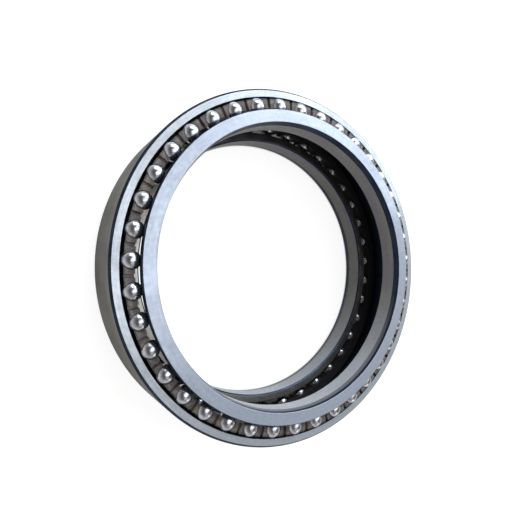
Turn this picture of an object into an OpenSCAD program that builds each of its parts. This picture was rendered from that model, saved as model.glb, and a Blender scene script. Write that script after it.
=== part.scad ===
// Double-row angular-contact ball bearing with one outer ring and two inner rings.
// It lies on the lower inner ring's face, with its axis along Z.

/* [Rings] */
// Bore of the two inner rings
bore_d = 155; // [150:0.5:158]
// Outside diameter of the outer ring
outer_d = 197; // [195:0.5:230]
// Distance between the outward faces of the two inner rings
total_w = 49.5; // [40:0.5:70]
// Width of each inner ring
inner_ring_w = 14; // [12:0.5:16]
// How far the outer ring's faces lie inside the inner rings' faces
outer_inset = 6.5; // [5:0.1:6.7]
// Height of the shoulder that carries the thrust, above the bottom of each groove
shoulder_h = 1.7; // [1:0.1:2.4]
// Height of the slight lip that keeps the balls on an inner ring before it is mounted
lip_h = 0.2; // [0.1:0.05:0.4]
// Width of that lip
lip_w = 2.2; // [1:0.1:3]
// How much lower an inner ring's inward end lies than the bottom of its groove
low_end_drop = 1.1; // [0.5:0.1:2]

/* [Balls] */
// Diameter of one ball
ball_d = 9.525; // [8.5:0.025:10]
// Number of balls in each row
ball_count = 39; // [20:1:42]
// Diameter of the circle through the ball centres
pitch_d = 177; // [174:0.5:180]
// Distance from an inner ring's outward face to its ball row
row_depth = 7.6; // [7.3:0.1:8.5]
// Angle between the line of contact and the plane of the row
contact_angle = 40; // [25:1:45]
// Angle of the upper row's first ball
upper_phase = 2.4; // [0:0.1:9]
// Angle of the lower row's first ball
lower_phase = 2.4; // [0:0.1:9]

/* [Edges] */
// Radial size of the large chamfer at each outward end of the bore
bore_chamfer_r = 0.9; // [0.5:0.1:2]
// Axial size of the large chamfer at each outward end of the bore
bore_chamfer_w = 3.9; // [0.5:0.1:4]
// Chamfer at the inward end of each inner ring's bore
inner_end_chamfer = 0.8; // [0.3:0.1:1.5]
// Chamfer of the outer ring's outside edges
outer_chamfer = 1.2; // [0.3:0.1:2]
// Chamfer of the outer ring's mouth, which opens the groove towards the face
mouth_chamfer = 0.4; // [0.3:0.1:1]
// Small chamfer that breaks the remaining ring edges
edge_break = 0.4; // [0.1:0.05:0.6]

/* [Cages] */
// Distance from an inner ring's outward face to the tips of the cage's claws
claw_depth = 5.2; // [4.8:0.1:6.2]
// Radial thickness of the claws at their tips
claw_t = 5.2; // [4:0.1:5.6]
// How far the claws reach out beyond the rim, into the open mouth of the outer groove
claw_flare = 0.9; // [0:0.1:1.2]
// Distance from the ball row back to where the claws start to lean outwards
flare_depth = 2.7; // [1.5:0.1:4]
// Radial thickness of the cage's rim
rim_t = 4.4; // [3:0.1:5]
// Solid rim left behind each pocket
rim_w = 1.9; // [1:0.1:3]
// Width of the relief slot between the two claws of a web
slot_w = 1.8; // [1:0.1:2.4]
// Depth of the relief slot
slot_h = 2.4; // [1.2:0.1:3]
// Bevel in the corners at the slot's bottom
slot_corner = 0.4; // [0.2:0.1:0.6]

/* [Clearances] */
// Gap between a ball and each groove at the point of contact
race_gap = 0.15; // [0.05:0.01:0.2]
// Gap between a ball and its pocket
pocket_gap = 0.2; // [0.1:0.05:0.4]
// Gap between the cage's rim and the outer ring's middle land
guide_gap = 0.35; // [0.2:0.05:0.6]
// Radius of each groove as a share of the ball's diameter
conformity = 0.53; // [0.525:0.005:0.55]

/* [Hidden] */
$fn = 180;
bore_r = bore_d / 2;
outer_r = outer_d / 2;
ball_r = ball_d / 2;
pitch_r = pitch_d / 2;
ball_step = 360 / ball_count;

// Each groove's arc is moved along the line of contact so that the ball clears it by race_gap there.
groove_r = conformity * ball_d;
groove_shift = groove_r - ball_r - race_gap;
inner_groove = [pitch_r + groove_shift * cos(contact_angle),
                row_depth + groove_shift * sin(contact_angle)];
outer_groove = [pitch_r - groove_shift * cos(contact_angle),
                row_depth - groove_shift * sin(contact_angle)];
inner_groove_bottom = inner_groove[0] - groove_r;
outer_groove_bottom = outer_groove[0] + groove_r;
inner_shoulder_r = inner_groove_bottom + shoulder_h;
outer_land_r = outer_groove_bottom - shoulder_h;

// The cage's outline in one row, measured from that row's outward face.
pocket_r = ball_r + pocket_gap;
cage_outer_r = outer_land_r - guide_gap;
rim_end = row_depth + pocket_r + rim_w;
claw_outer_r = cage_outer_r + claw_flare;
cage_neck = row_depth + flare_depth;

// How far a cutting shape reaches past the material it cuts
cut_past = 1;

steel = [0.80, 0.83, 0.90];
polished = [0.90, 0.91, 0.93];
cage_brown = [0.47, 0.43, 0.40];

function two_digits(i) = str(i < 10 ? "0" : "", i);
function ball_name(i) = str("upper_ball_", two_digits(i));

// Turns what is drawn for the lower row over, so that it serves the upper row.
module upper_row() {
    translate([0, 0, total_w]) mirror([0, 0, 1]) children();
}

// Section of an inner ring, with its outward face at height 0.
module inner_ring_section() {
    // The low side keeps its lip behind the balls and then tapers to the inward end.
    low_r = inner_groove_bottom + lip_h;
    low_end_r = inner_groove_bottom - low_end_drop;
    difference() {
        polygon([
            [bore_r + bore_chamfer_r, 0],
            [inner_shoulder_r - edge_break, 0],
            [inner_shoulder_r, edge_break],
            [inner_shoulder_r, inner_groove[1]],
            [low_r, inner_groove[1]],
            [low_r, inner_groove[1] + lip_w],
            [low_end_r, inner_ring_w - edge_break],
            [low_end_r - edge_break, inner_ring_w],
            [bore_r + inner_end_chamfer, inner_ring_w],
            [bore_r, inner_ring_w - inner_end_chamfer],
            [bore_r, bore_chamfer_w]
        ]);
        translate(inner_groove) circle(r = groove_r);
    }
}

module inner_ring() {
    rotate_extrude() inner_ring_section();
}

// What one row takes from the outer ring's section: the groove, its run-out and the mouth.
module outer_row_cut() {
    translate(outer_groove) circle(r = groove_r);
    polygon([
        [outer_land_r - cut_past, 0],
        [outer_groove_bottom + mouth_chamfer + outer_inset, 0],
        [outer_groove_bottom, outer_inset + mouth_chamfer],
        [outer_groove_bottom, outer_groove[1]],
        [outer_land_r - cut_past, outer_groove[1]]
    ]);
}

module outer_ring_section() {
    low = outer_inset;
    high = total_w - outer_inset;
    difference() {
        polygon([
            [outer_land_r, low],
            [outer_r - outer_chamfer, low],
            [outer_r, low + outer_chamfer],
            [outer_r, high - outer_chamfer],
            [outer_r - outer_chamfer, high],
            [outer_land_r, high]
        ]);
        outer_row_cut();
        translate([0, total_w]) mirror([0, 1]) outer_row_cut();
    }
}

module outer_ring() {
    color(steel) rotate_extrude() outer_ring_section();
}

module ball_at(i, phase) {
    rotate([0, 0, phase + i * ball_step]) translate([pitch_r, 0, 0]) children();
}

// Section of a cage: a rim behind the balls, and a leaning web that ends in the claws.
module cage_section() {
    polygon([
        [claw_outer_r - claw_t, claw_depth],
        [claw_outer_r, claw_depth],
        [cage_outer_r, cage_neck],
        [cage_outer_r, rim_end],
        [cage_outer_r - rim_t, rim_end],
        [cage_outer_r - rim_t, cage_neck]
    ]);
}

// Relief slot between the two claws of a web, cut along the radius.
module relief_slot() {
    reach = 2 * claw_t + rim_t;
    translate([-reach / 2, 0, claw_depth]) rotate([90, 0, 90]) linear_extrude(reach)
        polygon([
            [-slot_w / 2, -cut_past],
            [slot_w / 2, -cut_past],
            [slot_w / 2, slot_h - slot_corner],
            [slot_w / 2 - slot_corner, slot_h],
            [slot_corner - slot_w / 2, slot_h],
            [-slot_w / 2, slot_h - slot_corner]
        ]);
}

module cage(phase) {
    difference() {
        rotate_extrude() cage_section();
        for (i = [0:ball_count - 1])
            ball_at(i, phase) translate([0, 0, row_depth]) sphere(r = pocket_r);
        for (i = [0:ball_count - 1])
            ball_at(i + 0.5, phase) relief_slot();
    }
}

module ball() {
    color(polished) sphere(d = ball_d);
}

module upper_ball(i) {
    ball_at(i - 1, upper_phase) translate([0, 0, total_w - row_depth]) ball();
}

module lower_balls() {
    for (i = [0:ball_count - 1])
        ball_at(i, lower_phase) translate([0, 0, row_depth]) ball();
}

outer_ring();
color(steel) upper_row() inner_ring();  // upper_inner_ring
color(steel) inner_ring();  // lower_inner_ring
color(cage_brown) upper_row() cage(upper_phase);  // upper_cage
color(cage_brown) cage(lower_phase);  // lower_cage
for (i = [1:ball_count])
    upper_ball(i);
lower_balls();
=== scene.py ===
"""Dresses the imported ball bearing: ground rings with softened edges, polished balls, moulded cages."""
import math
from collections import namedtuple
from functools import reduce

import bpy
from mathutils import Matrix, Vector


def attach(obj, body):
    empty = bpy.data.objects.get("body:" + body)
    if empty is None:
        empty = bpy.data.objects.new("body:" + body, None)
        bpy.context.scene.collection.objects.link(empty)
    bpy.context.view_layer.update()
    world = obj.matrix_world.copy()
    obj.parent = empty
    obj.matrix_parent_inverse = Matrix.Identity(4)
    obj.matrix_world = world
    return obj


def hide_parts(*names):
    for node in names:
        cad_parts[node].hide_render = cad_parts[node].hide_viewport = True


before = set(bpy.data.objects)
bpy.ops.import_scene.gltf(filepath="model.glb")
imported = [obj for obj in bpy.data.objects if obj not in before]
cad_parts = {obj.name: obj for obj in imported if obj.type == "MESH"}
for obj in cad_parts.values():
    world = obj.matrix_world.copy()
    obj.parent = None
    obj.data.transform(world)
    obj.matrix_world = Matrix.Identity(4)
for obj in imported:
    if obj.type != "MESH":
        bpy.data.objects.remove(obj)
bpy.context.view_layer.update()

MM = 0.001

# Sizes in millimetres, as in the solids
BORE_R = 77.5
OUTER_R = 98.5
TOTAL_W = 49.5
INNER_RING_W = 14.0
OUTER_INSET = 6.5
SHOULDER_H = 1.7
LIP_H = 0.2
LIP_W = 2.2
LOW_END_DROP = 1.1
BALL_R = 4.7625
BALL_COUNT = 39
FIRST_BALL_DEGREES = 2.4
PITCH_R = 88.5
ROW_DEPTH = 7.6
CONTACT_ANGLE = math.radians(40)
RACE_GAP = 0.15
CONFORMITY = 0.53
BORE_CHAMFER_R = 0.9
BORE_CHAMFER_W = 3.9
INNER_END_CHAMFER = 0.8
OUTER_CHAMFER = 1.2
MOUTH_CHAMFER = 0.4
EDGE_BREAK = 0.4
CLAW_DEPTH = 5.2
SLOT_W = 1.8
SLOT_H = 2.4

# Each groove's centre lies a little past the balls' centres on the line of contact, as (radius, height).
GROOVE_R = CONFORMITY * 2 * BALL_R
GROOVE_SHIFT = GROOVE_R - BALL_R - RACE_GAP
GROOVE_IN = (PITCH_R + GROOVE_SHIFT * math.cos(CONTACT_ANGLE),
             ROW_DEPTH + GROOVE_SHIFT * math.sin(CONTACT_ANGLE))
GROOVE_OUT = (PITCH_R - GROOVE_SHIFT * math.cos(CONTACT_ANGLE),
              ROW_DEPTH - GROOVE_SHIFT * math.sin(CONTACT_ANGLE))
INNER_BOTTOM = GROOVE_IN[0] - GROOVE_R
OUTER_BOTTOM = GROOVE_OUT[0] + GROOVE_R
SHOULDER_R = INNER_BOTTOM + SHOULDER_H
LAND_R = OUTER_BOTTOM - SHOULDER_H

# How finely the rings are meshed
SEGMENTS = 360
GROOVE_STEPS = 28
FILLET_STEPS = 4

# A fillet takes at most this share of the side before it and of the side after it. A support point lies
# just past each of its ends, by this length in mm but by no more than this share of the side.
FILLET_SHARE = 0.45
SUPPORT = 0.06
SUPPORT_SHARE = 0.05

WHITE = (1.0, 1.0, 1.0)


# ---------------------------------------------------------------- node trees

# A point of the surface in mm, its y and z, its distance from the axis, and its angle about the axis
Place = namedtuple("Place", "point y z radius angle")

# Painted shade, laid on like a dark film, that deepens along y or z: where it starts and is full in mm, how
# far its edge wanders, how much of the steel it covers where it is full, and the colours of its bands
PaintedShade = namedtuple("PaintedShade", "along start full wander cover olive mauve")


class Nodes:
    """The node tree of a material or world, with short calls to add and join nodes."""

    def __init__(self, owner, shader="Principled BSDF"):
        owner.use_nodes = True
        self.owner = owner
        self.tree = owner.node_tree
        self.shader = self.tree.nodes[shader]

    def join(self, value, socket):
        """Links an output to a socket, or sets the socket to a number or an RGB colour."""
        if isinstance(value, bpy.types.NodeSocket):
            self.tree.links.new(value, socket)
        elif socket.type == "RGBA":
            socket.default_value = (*value, 1.0)
        else:
            socket.default_value = value

    def add(self, kind, *values, **settings):
        """Adds a node with these settings, and joins the values to its first inputs."""
        node = self.tree.nodes.new(kind)
        for name, value in settings.items():
            setattr(node, name, value)
        for value, socket in zip(values, node.inputs):
            self.join(value, socket)
        return node

    def feed(self, node, inputs):
        """Joins values to a node's inputs by their names."""
        for name, value in inputs.items():
            self.join(value, node.inputs[name])

    def math(self, operation, *values):
        return self.add("ShaderNodeMath", *values, operation=operation).outputs[0]

    def plus(self, a, b):
        return self.math("ADD", a, b)

    def minus(self, a, b):
        return self.math("SUBTRACT", a, b)

    def times(self, *values):
        return reduce(lambda a, b: self.math("MULTIPLY", a, b), values)

    def larger(self, a, b):
        return self.math("MAXIMUM", a, b)

    def mixture(self, a, b, share):
        """Two numbers together, the second by this share."""
        return self.plus(self.times(a, 1.0 - share), self.times(b, share))

    def sway(self, value, noise, amount):
        """A number moved up and down by a noise, by half the amount at most."""
        return self.plus(value, self.times(self.minus(noise, 0.5), amount))

    def span(self, value, low, high, out_low=0.0, out_high=1.0, **settings):
        """Goes from out_low to out_high while value goes from low to high, and stays there beyond them."""
        return self.add("ShaderNodeMapRange", value, low, high, out_low, out_high, **settings).outputs[0]

    def blend(self, factor, a, b):
        """Two colours mixed, the second by this factor."""
        node = self.add("ShaderNodeMix", factor, data_type="RGBA")
        for colour, socket in zip((a, b), [s for s in node.inputs if s.type == "RGBA"]):
            self.join(colour, socket)
        return next(s for s in node.outputs if s.type == "RGBA")

    def noise(self, point, scale, detail=2.0, rough=0.5):
        node = self.add("ShaderNodeTexNoise")
        self.feed(node, {"Vector": point, "Scale": scale, "Detail": detail, "Roughness": rough})
        return node.outputs["Fac"]

    def ring_noise(self, place, line, round_scale, cross_scale, detail=2.0, rough=0.5):
        """Noise in lines that run round the axis.

        It follows a circle, so it has no seam where the angle wraps. round_scale says how fast it changes
        along the lines, and cross_scale how fast from one line to the next.
        """
        x, y = [self.times(self.math(part, place.angle), round_scale) for part in ("COSINE", "SINE")]
        point = self.add("ShaderNodeCombineXYZ", x, y, self.times(line, cross_scale)).outputs[0]
        return self.noise(point, 1.0, detail, rough)

    def bump(self, height, strength, distance):
        node = self.add("ShaderNodeBump")
        self.feed(node, {"Strength": strength, "Distance": distance, "Height": height})
        self.feed(self.shader, {"Normal": node.outputs["Normal"]})

    def split(self, vector):
        return self.add("ShaderNodeSeparateXYZ", vector).outputs

    def point(self):
        """Object coordinates in mm."""
        scaled = self.add("ShaderNodeVectorMath", self.add("ShaderNodeTexCoord").outputs["Object"],
                          operation="SCALE")
        self.feed(scaled, {"Scale": 1 / MM})
        return scaled.outputs[0]

    def place(self):
        point = self.point()
        x, y, z = self.split(point)
        radius = self.math("SQRT", self.plus(self.times(x, x), self.times(y, y)))
        return Place(point, y, z, radius, self.math("ARCTAN2", y, x))

    def depth(self, place):
        """Distance in mm from the nearer of the inner rings' outward faces."""
        middle = TOTAL_W / 2
        return self.minus(middle, self.math("ABSOLUTE", self.minus(place.z, middle)))


# ---------------------------------------------------------------- materials

def ground_steel(name, light, dark, rough, grain, across="radius", stains=0.35, brushed=0.75, metal=1.0,
                 mottle=0.0, painted_shade=None):
    """Steel with fine lines that run round the axis, faint stains and a change of tone along the lines.

    The lines lie beside one another along the radius on a face and along z on a cylinder, and grain is
    their fineness. stains is the share of the stains in the tone, and mottle adds small smears to it.
    """
    n = Nodes(bpy.data.materials.new(name))
    place = n.place()
    line = getattr(place, across)
    fine = n.ring_noise(place, line, round_scale=9.0, cross_scale=grain, detail=3.0, rough=0.65)
    coarse = n.ring_noise(place, line, round_scale=3.0, cross_scale=grain * 0.22)
    cloud = n.noise(place.point, scale=0.045, detail=4.0, rough=0.6)
    lines = n.mixture(fine, coarse, share=0.4)
    worn = n.mixture(lines, cloud, share=stains)
    if mottle:
        worn = n.sway(worn, n.noise(place.point, scale=0.42, detail=4.0, rough=0.7), mottle)
    tone = n.span(worn, 0.38, 0.62)
    colour = n.blend(tone, dark, light)
    # Painted shade: where it is given, the steel darkens along y or z into olive and mauve bands.
    if painted_shade:
        bands = n.span(n.ring_noise(place, line, round_scale=2.5, cross_scale=0.22), 0.42, 0.58)
        reach = n.sway(getattr(place, painted_shade.along), cloud, painted_shade.wander)
        cover = n.times(n.span(reach, painted_shade.start, painted_shade.full), painted_shade.cover)
        colour = n.blend(cover, colour, n.blend(bands, painted_shade.olive, painted_shade.mauve))
    # The light parts are the smoother ones. The lines run round the axis, so they spread light across it.
    n.feed(n.shader, {"Base Color": colour, "Metallic": metal,
                      "Roughness": n.span(tone, 0.0, 1.0, rough * 1.2, rough * 0.85),
                      "Anisotropic": brushed, "Anisotropic Rotation": 0.25})
    n.bump(lines, strength=0.25, distance=0.00002)
    return n.owner


def turned_steel(name, light, dark, painted_highlight_colour, rough):
    """Darker steel of chamfers and reliefs that hardening has coloured.

    The bore's large chamfers carry a painted highlight beside the seat, on the side towards -y.
    """
    n = Nodes(bpy.data.materials.new(name))
    place = n.place()
    lines = n.ring_noise(place, n.plus(place.radius, place.z), round_scale=5.0, cross_scale=5.0)
    patch = n.noise(place.point, scale=0.11, detail=4.0, rough=0.6)
    tone = n.span(n.mixture(lines, patch, share=0.6), 0.35, 0.65)
    # each of these fades over a short way, so that the painted highlight band has soft ends
    depth = n.depth(place)
    past_face = n.span(depth, 1.2, 2.2)
    before_seat = n.span(depth, BORE_CHAMFER_W + 1.1, BORE_CHAMFER_W + 0.6)
    by_bore = n.span(place.radius, BORE_R + 2.0, BORE_R + 1.5)
    highlight_side = n.span(place.y, -15.0, -60.0)
    painted_light = n.times(past_face, before_seat, by_bore, highlight_side, 0.85)
    n.feed(n.shader, {"Base Color": n.blend(painted_light, n.blend(tone, dark, light), painted_highlight_colour), "Metallic": 1.0,
                      "Roughness": n.span(tone, 0.0, 1.0, rough * 1.15, rough * 0.85)})
    n.bump(lines, strength=0.3, distance=0.00003)
    return n.owner


def ball_steel():
    """Lapped ball: almost a mirror, with a haze of oil and a few faint marks."""
    n = Nodes(bpy.data.materials.new("lapped_ball_steel"))
    point = n.point()
    clean, hazed = (0.74, 0.745, 0.79), (0.46, 0.47, 0.53)
    haze = n.span(n.noise(point, scale=0.35, detail=3.0, rough=0.6), 0.4, 0.65)
    n.feed(n.shader, {"Base Color": n.blend(haze, clean, hazed), "Metallic": 1.0,
                      "Roughness": n.span(haze, 0.0, 1.0, 0.2, 0.3)})
    n.bump(n.noise(point, scale=3.5, detail=3.0, rough=0.7), strength=0.12, distance=0.000008)
    return n.owner


def cage_plastic():
    """Moulded cage: painted light in grey on the claws' outer part, painted shade in mauve brown inwards and
    at the outer edge, painted shade below the claw tips, and random oil stains.
    """
    n = Nodes(bpy.data.materials.new("moulded_cage"))
    place = n.place()
    grain = n.noise(place.point, scale=4.0, detail=3.0, rough=0.6)
    oil = n.span(n.noise(place.point, scale=0.22, detail=3.0, rough=0.6), 0.45, 0.62)
    speck = n.span(n.noise(place.point, scale=1.3), 0.35, 0.7)
    hue = n.times(n.span(n.noise(place.point, scale=0.13), 0.47, 0.62), 0.7)

    def plastic(dark, light, olive):
        return n.blend(hue, n.blend(speck, dark, light), olive)

    shaded_plastic = plastic(dark=(0.09, 0.068, 0.073), light=(0.18, 0.135, 0.135), olive=(0.13, 0.118, 0.07))
    painted_light = plastic(dark=(0.15, 0.125, 0.125), light=(0.27, 0.23, 0.228), olive=(0.20, 0.188, 0.12))
    edge_shade_colour, slot_painted_light, oil_and_shade_colour = (0.028, 0.034, 0.038), (0.34, 0.29, 0.28), (0.035, 0.032, 0.034)
    # Painted light and shade: a shaded copy of the plastic inwards, a lit copy towards the claws' outer part,
    # and painted shade at the outermost edge.
    wander = n.sway(place.radius, speck, 0.9)
    lit_share, edge_shade = n.span(wander, 88.9, 90.2), n.span(wander, 91.3, 92.1)
    body = n.blend(edge_shade, n.blend(lit_share, shaded_plastic, painted_light), edge_shade_colour)

    # A relief slot lies halfway between two balls. A lighter colour is painted inside it to offset its shade,
    # and the painted shade below the claw tips is left out there, so it shows as brown as the claws beside
    # it. steps counts from the first ball, with whole steps added so that it is never below 0.
    depth = n.depth(place)
    from_ball = n.minus(n.math("DEGREES", place.angle), FIRST_BALL_DEGREES)
    steps = n.plus(n.math("DIVIDE", from_ball, 360 / BALL_COUNT), 100.0)
    step_length = 2 * math.pi * PITCH_R / BALL_COUNT
    aside = n.times(n.math("ABSOLUTE", n.minus(n.math("FRACT", steps), 0.5)), step_length)
    slot = n.times(n.span(aside, SLOT_W / 2 + 0.5, SLOT_W / 2 + 0.1),
                   n.span(depth, CLAW_DEPTH + SLOT_H + 0.8, CLAW_DEPTH + SLOT_H + 0.1))
    inside = n.times(slot, n.span(depth, CLAW_DEPTH + 0.1, CLAW_DEPTH + 0.6))
    body = n.blend(n.times(inside, 0.8), body, slot_painted_light)

    # Painted shade: dark below the claw tips, in the recess between the rings, mixed with random oil stains.
    recess_shade = n.times(n.span(depth, CLAW_DEPTH + 0.15, CLAW_DEPTH + 1.4), n.minus(1.0, slot))
    oil_and_shade = n.larger(n.times(oil, 0.7), recess_shade)
    n.feed(n.shader, {"Base Color": n.blend(oil_and_shade, body, oil_and_shade_colour), "Roughness": n.span(oil_and_shade, 0.0, 1.0, 0.55, 0.36)})
    n.bump(grain, strength=0.3, distance=0.00005)
    return n.owner


FACE = ground_steel("ground_face", light=(0.515, 0.565, 0.67), dark=(0.385, 0.43, 0.52),
                    rough=0.36, grain=7.0, metal=0.8, mottle=0.42)
RIM = ground_steel("ground_outer_face", light=(0.575, 0.615, 0.675), dark=(0.425, 0.46, 0.515),
                   rough=0.36, grain=7.0, stains=0.45, metal=0.8, mottle=0.42)
# Painted shade: the seats darken towards +y.
SEAT = ground_steel("ground_seat", light=(0.60, 0.625, 0.675), dark=(0.44, 0.46, 0.50),
                    rough=0.3, grain=7.0, across="z", brushed=0.9, metal=0.15, mottle=0.45,
                    painted_shade=PaintedShade("y", start=-62.0, full=-12.0, wander=50.0, cover=0.6,
                              olive=(0.20, 0.175, 0.075), mauve=(0.14, 0.09, 0.13)))
# Painted shade: the outside darkens towards the floor.
OUTSIDE = ground_steel("ground_outside", light=(0.31, 0.292, 0.255), dark=(0.195, 0.184, 0.158),
                       rough=0.34, grain=7.0, across="z", stains=0.5, brushed=0.9, metal=0.3,
                       painted_shade=PaintedShade("z", start=43.0, full=7.0, wander=14.0, cover=0.9,
                                 olive=(0.07, 0.065, 0.048), mauve=(0.062, 0.054, 0.05)))
RACE = ground_steel("honed_race", light=(0.40, 0.35, 0.28), dark=(0.27, 0.235, 0.185),
                    rough=0.26, grain=4.0, across="z", stains=0.5)
# Painted shade: the inward ends darken towards +y.
END = ground_steel("turned_end", light=(0.415, 0.40, 0.375), dark=(0.30, 0.29, 0.275),
                   rough=0.3, grain=5.0, stains=0.5,
                   painted_shade=PaintedShade("y", start=5.0, full=45.0, wander=40.0, cover=0.85,
                             olive=(0.065, 0.056, 0.04), mauve=(0.062, 0.046, 0.052)))
TURNED = turned_steel("turned_relief", light=(0.048, 0.066, 0.102), dark=(0.022, 0.031, 0.052),
                      painted_highlight_colour=(0.36, 0.38, 0.43), rough=0.38)
BALL = ball_steel()
CAGE = cage_plastic()
SKINS = [FACE, SEAT, RACE, TURNED, END, OUTSIDE, RIM]


# ---------------------------------------------------------------- ring meshes

# A corner of an outline: its (radius, height) and fillet in mm, and the skin of the side that follows
Corner = namedtuple("Corner", "point fillet skin")


def arc(centre, radius, start, end, steps):
    """Points on a circle from one angle to another, both ends included."""
    return [(centre[0] + radius * math.cos(start + (end - start) * k / steps),
             centre[1] + radius * math.sin(start + (end - start) * k / steps)) for k in range(steps + 1)]


def groove_corners(centre, start, end):
    """Corners along a groove, with a fillet at the first, where it meets the shoulder or land."""
    first, *others = arc(centre, GROOVE_R, start, end, GROOVE_STEPS)
    return [Corner(first, 0.1, RACE)] + [Corner(point, 0, RACE) for point in others]


def soften(corners):
    """Rounds an outline's corners and adds a support point beside each end of a round.

    Returns the points and, for each, the skin of the side that follows.
    """
    points, skins = [], []
    for i, (point, fillet, skin) in enumerate(corners):
        here = Vector(point)
        if not fillet:
            points.append(tuple(here))
            skins.append(skin)
            continue
        last_skin = corners[i - 1].skin
        back = Vector(corners[i - 1].point) - here
        on = Vector(corners[(i + 1) % len(corners)].point) - here
        u, v = back.normalized(), on.normalized()
        half = math.acos(max(-1.0, min(1.0, u.dot(v)))) / 2
        reach = min(fillet / math.tan(half), back.length * FILLET_SHARE, on.length * FILLET_SHARE)
        fillet = reach * math.tan(half)
        centre = here + (u + v).normalized() * math.hypot(reach, fillet)
        first, last = here + u * reach, here + v * reach
        points.append(tuple(first + u * min(SUPPORT, back.length * SUPPORT_SHARE)))
        skins.append(last_skin)
        spoke = first - centre
        turn = spoke.angle_signed(last - centre)
        start = math.atan2(spoke.y, spoke.x)
        points.extend(arc(centre, fillet, start, start - turn, FILLET_STEPS))
        skins.extend(last_skin if k < FILLET_STEPS / 2 else skin for k in range(FILLET_STEPS + 1))
        points.append(tuple(last + v * min(SUPPORT, on.length * SUPPORT_SHARE)))
        skins.append(skin)
    return points, skins


def inner_ring_outline():
    """Outline of an inner ring from its outward face, which lies at height 0."""
    rise = math.acos((GROOVE_IN[0] - SHOULDER_R) / GROOVE_R)
    fall = math.acos((GROOVE_IN[0] - INNER_BOTTOM - LIP_H) / GROOVE_R)
    low_end = INNER_BOTTOM - LOW_END_DROP
    return soften([
        Corner((BORE_R + BORE_CHAMFER_R, 0), 0.25, FACE),
        Corner((SHOULDER_R - EDGE_BREAK, 0), 0.15, TURNED),
        Corner((SHOULDER_R, EDGE_BREAK), 0.15, TURNED),
        *groove_corners(GROOVE_IN, math.pi + rise, math.pi - fall),
        Corner((INNER_BOTTOM + LIP_H, GROOVE_IN[1] + LIP_W), 0.3, TURNED),
        Corner((low_end, INNER_RING_W - EDGE_BREAK), 0.15, TURNED),
        Corner((low_end - EDGE_BREAK, INNER_RING_W), 0.15, END),
        Corner((BORE_R + INNER_END_CHAMFER, INNER_RING_W), 0.2, TURNED),
        Corner((BORE_R, INNER_RING_W - INNER_END_CHAMFER), 0.25, SEAT),
        Corner((BORE_R, BORE_CHAMFER_W), 0.5, TURNED)])


def outer_ring_outline():
    """Outline of the whole outer ring, first its lower half and then the mirrored upper half."""
    rise = math.acos((LAND_R - GROOVE_OUT[0]) / GROOVE_R)
    half = [
        *groove_corners(GROOVE_OUT, rise, 0.0),
        Corner((OUTER_BOTTOM, OUTER_INSET + MOUTH_CHAMFER), 0.15, TURNED),
        Corner((OUTER_BOTTOM + MOUTH_CHAMFER, OUTER_INSET), 0.15, RIM),
        Corner((OUTER_R - OUTER_CHAMFER, OUTER_INSET), 0.25, TURNED),
        Corner((OUTER_R, OUTER_INSET + OUTER_CHAMFER), 0.3, OUTSIDE)]
    # In the upper half the order is turned round, so a corner is followed by the side that was before it.
    sides_before = [TURNED] + [corner.skin for corner in half[:-1]]
    other = [Corner((point[0], TOTAL_W - point[1]), fillet, before)
             for (point, fillet, _), before in zip(half, sides_before)]
    return soften(half + other[::-1])


def lathe(name, outline, skins, body, node, flip=False):
    """Turns an outline of (radius, height) points in mm into a ring that stands for a node."""
    if flip:
        outline = [(r, TOTAL_W - z) for r, z in reversed(outline)]
        skins = skins[-2::-1] + skins[-1:]
    verts, faces = [], []
    count = len(outline)
    for segment in range(SEGMENTS):
        angle = 2 * math.pi * segment / SEGMENTS
        x, y = math.cos(angle) * MM, math.sin(angle) * MM
        verts.extend((r * x, r * y, z * MM) for r, z in outline)
        here, there = segment * count, (segment + 1) % SEGMENTS * count
        for k in range(count):
            after = (k + 1) % count
            faces.append((here + k, there + k, there + after, here + after))
    mesh = bpy.data.meshes.new(name)
    mesh.from_pydata(verts, [], faces)
    for skin in SKINS:
        mesh.materials.append(skin)
    mesh.polygons.foreach_set("material_index", [SKINS.index(skin) for skin in skins] * SEGMENTS)
    mesh.polygons.foreach_set("use_smooth", [True] * len(faces))
    mesh.update()
    ob = bpy.data.objects.new(name, mesh)
    bpy.context.scene.collection.objects.link(ob)
    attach(ob, body)
    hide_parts(node)


inner, inner_skins = inner_ring_outline()
outer, outer_skins = outer_ring_outline()
lathe("outer_ring_ground", outer, outer_skins, "outer_ring", "outer_ring")
lathe("lower_inner_ring_ground", inner, inner_skins, "lower_inner_ring", "lower_inner_ring")
lathe("upper_inner_ring_ground", inner, inner_skins, "upper_inner_ring", "upper_inner_ring", flip=True)

for name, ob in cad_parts.items():
    if "ball" in name or "cage" in name:
        ob.data.materials.clear()
        ob.data.materials.append(CAGE if "cage" in name else BALL)


# ---------------------------------------------------------------- camera

# What was solved from the ring edges. The centre of the upper face is in metres from the camera: to the
# right, down and forward. TURN and NOD lean the bearing's axis, in radians.
FACE_CENTRE = Vector((0.27276, 0.04294, 3.01385)) * BORE_R * MM
TURN = 0.52897
NOD = 0.02424
FOCAL_PX = 428.11
IMAGE_PX = 520
SENSOR_MM = 36


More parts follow.
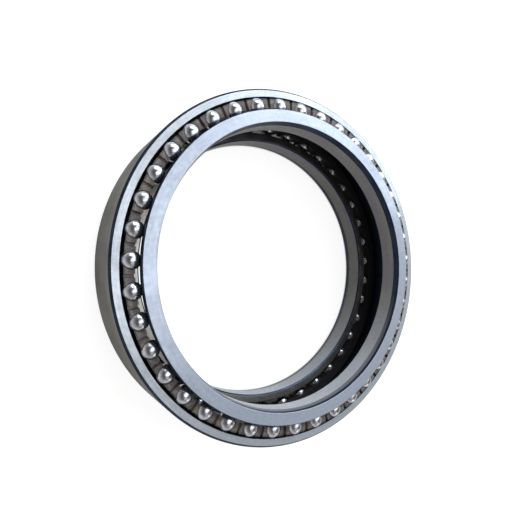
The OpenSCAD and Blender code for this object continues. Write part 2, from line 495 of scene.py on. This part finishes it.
def photo_camera():
    """The photograph's camera, placed round the bearing, which stays where it is."""
    # The bearing's axes as the camera sees them: to the right, down and forward
    away = Vector((-math.sin(TURN) * math.cos(NOD), math.sin(NOD), math.cos(TURN) * math.cos(NOD)))
    x_axis = Vector((0, 1, 0)).cross(away).normalized()
    y_axis = -away.cross(x_axis)
    z_axis = -away
    right, down, forward = [Vector(parts) for parts in zip(x_axis, y_axis, z_axis)]
    position = Vector((-FACE_CENTRE.dot(x_axis), -FACE_CENTRE.dot(y_axis),
                       TOTAL_W * MM - FACE_CENTRE.dot(z_axis)))
    camera = bpy.data.objects.new("photo_camera", bpy.data.cameras.new("photo_camera"))
    bpy.context.scene.collection.objects.link(camera)
    rotation = Matrix((right, -down, -forward)).transposed().to_4x4()
    camera.matrix_world = Matrix.Translation(position) @ rotation
    camera.data.sensor_width = SENSOR_MM
    camera.data.lens = FOCAL_PX / IMAGE_PX * SENSOR_MM
    camera.data.clip_start = 0.01
    return camera


bpy.context.scene.camera = photo_camera()


# ---------------------------------------------------------------- stage and light

# Half of the floor's side, and how far it lies below the bearing, in metres
FLOOR_HALF = 3.0
FLOOR_DROP = 0.0001
FLOOR_GREY = (0.38, 0.38, 0.37)
# How strongly the floor glows for the camera, and in the steel that mirrors it
GLOW_STRAIGHT = 0.86
GLOW_MIRRORED = 0.42

# The lamps' tints, and the point at which all of them aim
DAYLIGHT = (0.87, 0.945, 1.0)
CEILING = (0.95, 0.98, 1.0)
CARD = (1.0, 0.99, 0.96)
AIM = (0, 0, 0.02)

# Each lamp's name, place and size in metres, power in watts and tint
LAMPS = [
    ("window", (0.0, 1.59, 0.86), (1.0, 1.0), 10.6, DAYLIGHT),
    ("middle_window", (0.79, 1.37, 0.86), (1.0, 1.0), 12.6, DAYLIGHT),
    ("side_window", (1.37, 0.79, 0.86), (1.0, 1.0), 9.9, DAYLIGHT),
    ("overhead", (0.1, 0.0, 1.82), (1.0, 1.0), 5.8, CEILING),
    ("fill", (0.7, 0.42, 1.6), (1.4, 1.0), 7.2, CEILING),
    ("reflector", (0.21, -0.98, 1.51), (1.0, 1.0), 1.6, CEILING),
    ("low_card", (0.85, -1.4, 0.62), (0.6, 0.5), 1.4, CARD),
]

# The world's light: its tint, its level at the walls and ceiling, and how much paler the walls without
# windows are, so that the steel doesn't go dark when it is seen from the windows' side
WORLD_TINT = (1.0, 0.98, 0.94)
WALL_LEVEL = 0.43
CEILING_LEVEL = 0.08
PALE_WALLS = 1.5


def floor():
    """A pale floor that shows white and keeps the bearing's shadow."""
    mesh = bpy.data.meshes.new("floor")
    corners = [(x * FLOOR_HALF, y * FLOOR_HALF, 0) for x, y in ((-1, -1), (1, -1), (1, 1), (-1, 1))]
    mesh.from_pydata(corners, [], [(0, 1, 2, 3)])
    ob = bpy.data.objects.new("floor", mesh)
    ob.location.z = -FLOOR_DROP
    bpy.context.scene.collection.objects.link(ob)
    n = Nodes(bpy.data.materials.new("pale_floor"))
    n.feed(n.shader, {"Base Color": FLOOR_GREY, "Roughness": 0.9, "Specular IOR Level": 0.0})
    path = n.add("ShaderNodeLightPath").outputs
    straight = n.times(n.larger(path["Is Camera Ray"], path["Is Transmission Ray"]), GLOW_STRAIGHT)
    mirrored = n.times(path["Is Glossy Ray"], GLOW_MIRRORED)
    # The floor doesn't glow under the rings, where little light reaches it.
    radius = n.place().radius
    in_the_open = n.larger(n.span(radius, BORE_R + 1.0, BORE_R),
                           n.span(radius, OUTER_R - 5.0, OUTER_R - 1.5))
    glow = n.add("ShaderNodeEmission", WHITE, n.times(n.larger(straight, mirrored), in_the_open))
    both = n.add("ShaderNodeAddShader", n.shader.outputs[0], glow.outputs[0])
    n.feed(n.tree.nodes["Material Output"], {"Surface": both.outputs[0]})
    mesh.materials.append(n.owner)


def softbox(name, place, size, power, tint):
    """A rectangular area lamp that aims at the bearing."""
    lamp = bpy.data.lights.new(name, "AREA")
    lamp.shape = "RECTANGLE"
    lamp.size, lamp.size_y = size
    lamp.energy = power
    lamp.color = tint
    ob = bpy.data.objects.new(name, lamp)
    bpy.context.scene.collection.objects.link(ob)
    ob.location = place
    ob.rotation_euler = (Vector(AIM) - Vector(place)).to_track_quat("-Z", "Y").to_euler()


def studio_world():
    """Pale walls round a darker ceiling for the light, and white where the camera sees past the floor."""
    n = Nodes(bpy.data.worlds.new("studio"), "Background")
    x, y, z = n.split(n.add("ShaderNodeTexCoord").outputs["Generated"])
    level = n.span(z, 0.1, 0.78, WALL_LEVEL, CEILING_LEVEL, interpolation_type="SMOOTHSTEP")
    side = n.span(n.plus(x, y), -1.0, 0.0, PALE_WALLS, 1.0, interpolation_type="SMOOTHSTEP")
    n.feed(n.shader, {"Color": WORLD_TINT, "Strength": n.times(level, side)})
    seen = n.add("ShaderNodeBackground", WHITE)
    camera_ray = n.add("ShaderNodeLightPath").outputs["Is Camera Ray"]
    choice = n.add("ShaderNodeMixShader", camera_ray, n.shader.outputs[0], seen.outputs[0])
    n.feed(n.tree.nodes["World Output"], {"Surface": choice.outputs[0]})
    return n.owner


floor()
for lamp in LAMPS:
    softbox(*lamp)
bpy.context.scene.world = studio_world()
bpy.context.scene.view_settings.view_transform = "Standard"
